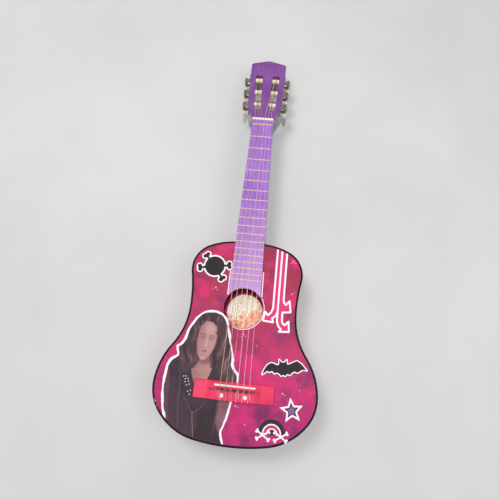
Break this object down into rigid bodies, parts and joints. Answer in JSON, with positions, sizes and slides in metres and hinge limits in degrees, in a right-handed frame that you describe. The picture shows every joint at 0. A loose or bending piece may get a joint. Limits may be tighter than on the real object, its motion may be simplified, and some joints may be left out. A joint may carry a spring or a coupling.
{
  "type": "small six-string acoustic guitar",
  "caption": "Child-size acoustic guitar with a waisted sound box, slotted tilted head, geared string rollers turned by oval buttons, and a tie bridge.",
  "frame": {"origin": "middle of the overall plan outline, on the plane of the flat back", "axes": "+X to the treble side, +Y from tail to head, +Z out of the soundboard"},
  "size_m": [0.2788, 0.777, 0.0797],
  "materials": {
    "printed_top": "glossy printed lacquer",
    "crimson_lacquer": "gloss lacquer",
    "black_binding": "gloss",
    "inner_wood": "raw",
    "purple_lacquer": "gloss lacquer",
    "purple_board": "satin lacquer",
    "cream_plastic": "satin",
    "fret_brass": "polished",
    "red_lacquer": "gloss lacquer",
    "white_pearl": "gloss",
    "steel": "brushed",
    "bronze_wound": "wound wire",
    "clear_nylon": "translucent",
    "nickel": "polished",
    "ivory_plastic": "satin",
    "gear_brass": "polished",
    "pearl_button": "pearloid"
  },
  "bodies": {
    "guitar": {"back_binding": "black_binding", "back_braces": "inner_wood", "back_lining": "inner_wood", "back_plate": "crimson_lacquer", "bridge": "red_lacquer", "bridge_bolts": "steel", "bridge_dots": "white_pearl", "bridge_plate": "inner_wood", "fingerboard": "purple_board", "frets": "fret_brass", "headstock": "purple_lacquer", "neck": "purple_lacquer", "neck_block": "inner_wood", "nut": "cream_plastic", "plate_screws": "nickel", "rib_bass": "crimson_lacquer", "rib_treble": "crimson_lacquer", "saddle": "cream_plastic", "soundboard": "printed_top", "strings_bass": "bronze_wound", "strings_treble": "clear_nylon", "tail_block": "inner_wood", "top_binding": "black_binding", "top_braces": "inner_wood", "top_lining": "inner_wood", "tuner_plate_bass": "nickel", "tuner_plate_treble": "nickel"},
    "knob_1": {"worm_1": "nickel", "button_1": "pearl_button"},
    "post_1": {"roller_1": "ivory_plastic", "gear_1": "gear_brass", "gear_screw_1": "nickel"},
    "knob_2": {"worm_2": "nickel", "button_2": "pearl_button"},
    "post_2": {"roller_2": "ivory_plastic", "gear_2": "gear_brass", "gear_screw_2": "nickel"},
    "knob_3": {"worm_3": "nickel", "button_3": "pearl_button"},
    "post_3": {"roller_3": "ivory_plastic", "gear_3": "gear_brass", "gear_screw_3": "nickel"},
    "knob_4": {"worm_4": "nickel", "button_4": "pearl_button"},
    "post_4": {"roller_4": "ivory_plastic", "gear_4": "gear_brass", "gear_screw_4": "nickel"},
    "knob_5": {"worm_5": "nickel", "button_5": "pearl_button"},
    "post_5": {"roller_5": "ivory_plastic", "gear_5": "gear_brass", "gear_screw_5": "nickel"},
    "knob_6": {"worm_6": "nickel", "button_6": "pearl_button"},
    "post_6": {"roller_6": "ivory_plastic", "gear_6": "gear_brass", "gear_screw_6": "nickel"}
  },
  "joints": [
    {"name": "knob_1_turn", "type": "hinge", "parent": "guitar", "child": "knob_1", "pos_m": [-0.04303, 0.257, 0.05216], "axis": [0, 0.1736, 0.9848], "continuous": true},
    {"name": "post_1_turn", "type": "hinge", "parent": "guitar", "child": "post_1", "pos_m": [-0.03432, 0.26471, 0.0508], "axis": [-0.9993, -0.0378, 0.0067], "continuous": true},
    {"name": "knob_2_turn", "type": "hinge", "parent": "guitar", "child": "knob_2", "pos_m": [-0.04437, 0.29147, 0.04608], "axis": [0, 0.1736, 0.9848], "continuous": true},
    {"name": "post_2_turn", "type": "hinge", "parent": "guitar", "child": "post_2", "pos_m": [-0.03567, 0.29918, 0.04472], "axis": [-0.9993, -0.0378, 0.0067], "continuous": true},
    {"name": "knob_3_turn", "type": "hinge", "parent": "guitar", "child": "knob_3", "pos_m": [-0.04572, 0.32593, 0.04001], "axis": [0, 0.1736, 0.9848], "continuous": true},
    {"name": "post_3_turn", "type": "hinge", "parent": "guitar", "child": "post_3", "pos_m": [-0.03701, 0.33364, 0.03865], "axis": [-0.9993, -0.0378, 0.0067], "continuous": true},
    {"name": "knob_4_turn", "type": "hinge", "parent": "guitar", "child": "knob_4", "pos_m": [0.04572, 0.32593, 0.04001], "axis": [0, 0.1736, 0.9848], "continuous": true},
    {"name": "post_4_turn", "type": "hinge", "parent": "guitar", "child": "post_4", "pos_m": [0.03701, 0.33364, 0.03865], "axis": [0.9993, -0.0378, 0.0067], "continuous": true},
    {"name": "knob_5_turn", "type": "hinge", "parent": "guitar", "child": "knob_5", "pos_m": [0.04437, 0.29147, 0.04608], "axis": [0, 0.1736, 0.9848], "continuous": true},
    {"name": "post_5_turn", "type": "hinge", "parent": "guitar", "child": "post_5", "pos_m": [0.03567, 0.29918, 0.04472], "axis": [0.9993, -0.0378, 0.0067], "continuous": true},
    {"name": "knob_6_turn", "type": "hinge", "parent": "guitar", "child": "knob_6", "pos_m": [0.04303, 0.257, 0.05216], "axis": [0, 0.1736, 0.9848], "continuous": true},
    {"name": "post_6_turn", "type": "hinge", "parent": "guitar", "child": "post_6", "pos_m": [0.03432, 0.26471, 0.0508], "axis": [0.9993, -0.0378, 0.0067], "continuous": true}
  ],
  "couplings": [
    {"joint": "post_1_turn", "follows": "knob_1_turn", "ratio": 0.071429},
    {"joint": "post_2_turn", "follows": "knob_2_turn", "ratio": 0.071429},
    {"joint": "post_3_turn", "follows": "knob_3_turn", "ratio": 0.071429},
    {"joint": "post_4_turn", "follows": "knob_4_turn", "ratio": 0.071429},
    {"joint": "post_5_turn", "follows": "knob_5_turn", "ratio": 0.071429},
    {"joint": "post_6_turn", "follows": "knob_6_turn", "ratio": 0.071429}
  ]
}
